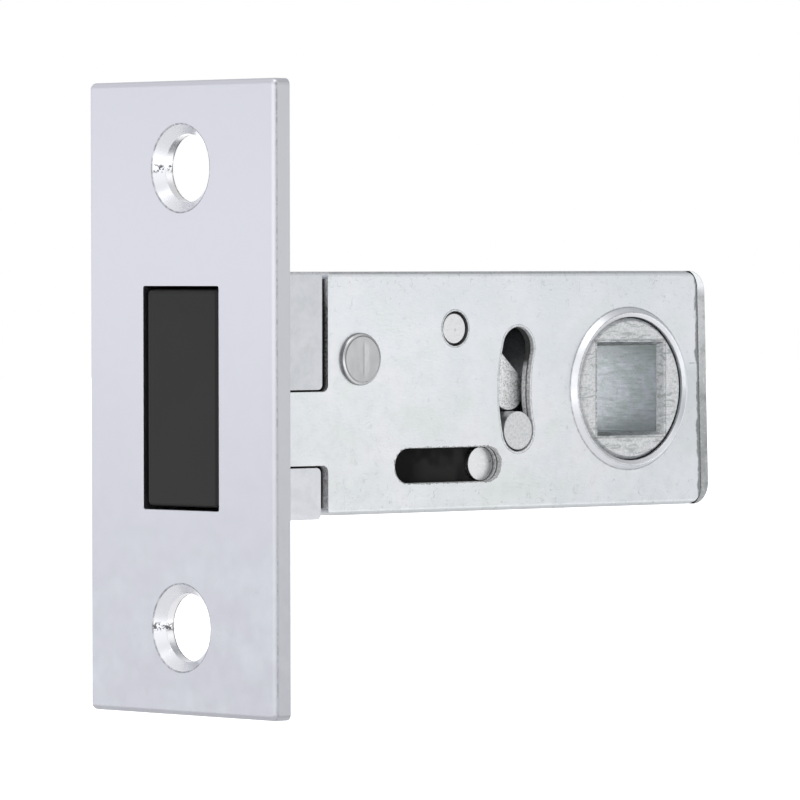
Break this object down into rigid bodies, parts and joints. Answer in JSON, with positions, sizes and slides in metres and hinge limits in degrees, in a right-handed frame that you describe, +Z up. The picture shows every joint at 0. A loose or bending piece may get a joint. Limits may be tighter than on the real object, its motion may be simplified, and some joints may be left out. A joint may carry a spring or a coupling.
{
  "type": "interior door latch",
  "caption": "Mortice passage latch: slim steel case on a rectangular faceplate, with a flush sliding bolt worked by a square spindle hub through a lever.",
  "frame": {"origin": "centre of the faceplate's back face, which seats on the door's edge, midway between the two screw holes", "axes": "+X runs into the door along the case, +Z is up along the faceplate, and -Y is the side with the folded case body, the near side in the picture"},
  "size_m": [0.0607, 0.0256, 0.0572],
  "materials": {
    "satin_chrome": "satin chrome on a zinc casting",
    "zinc_plate": "bright zinc plating on pressed steel",
    "cast_zinc": "plated casting with a fine grain",
    "pin_steel": "bright turned pin",
    "rivet_steel": "headed rivet, pressed smooth",
    "black_plastic": "moulded nylon, fine satin",
    "magnet": "plain magnet",
    "spring_steel": "drawn wire"
  },
  "bodies": {
    "case": {"forend": "satin_chrome", "case_body": "zinc_plate", "case_cover": "zinc_plate", "spacer_rivet": "rivet_steel", "spring_post": "pin_steel", "bolt_spring": "spring_steel", "return_spring": "spring_steel"},
    "hub": {"hub": "cast_zinc"},
    "lever": {"lever": "cast_zinc", "lever_pin": "pin_steel"},
    "bolt": {"bolt": "black_plastic", "bolt_magnet": "magnet", "bolt_pin": "pin_steel"}
  },
  "joints": [
    {"name": "hub_turn", "type": "hinge", "parent": "case", "child": "hub", "pos_m": [0.0484, 0, 0.0003], "axis": [0, 1, 0], "range_deg": [0, 30], "stiffness_Nm_per_rad": 0.02, "springref_deg": -17.19},
    {"name": "lever_swing", "type": "hinge", "parent": "case", "child": "lever", "pos_m": [0.02615, 0, 0.0061], "axis": [0, -1, 0], "range_deg": [0, 46.8], "deforming": ["return_spring"]},
    {"name": "bolt_slide", "type": "slide", "parent": "case", "child": "bolt", "axis": [-1, 0, 0], "range_m": [0, 0.00987], "stiffness_N_per_m": 15, "springref_m": -0.004, "deforming": ["bolt_spring"]}
  ],
  "couplings": [
    {"joint": "lever_swing", "follows": "hub_turn", "ratio": 1.56}
  ]
}
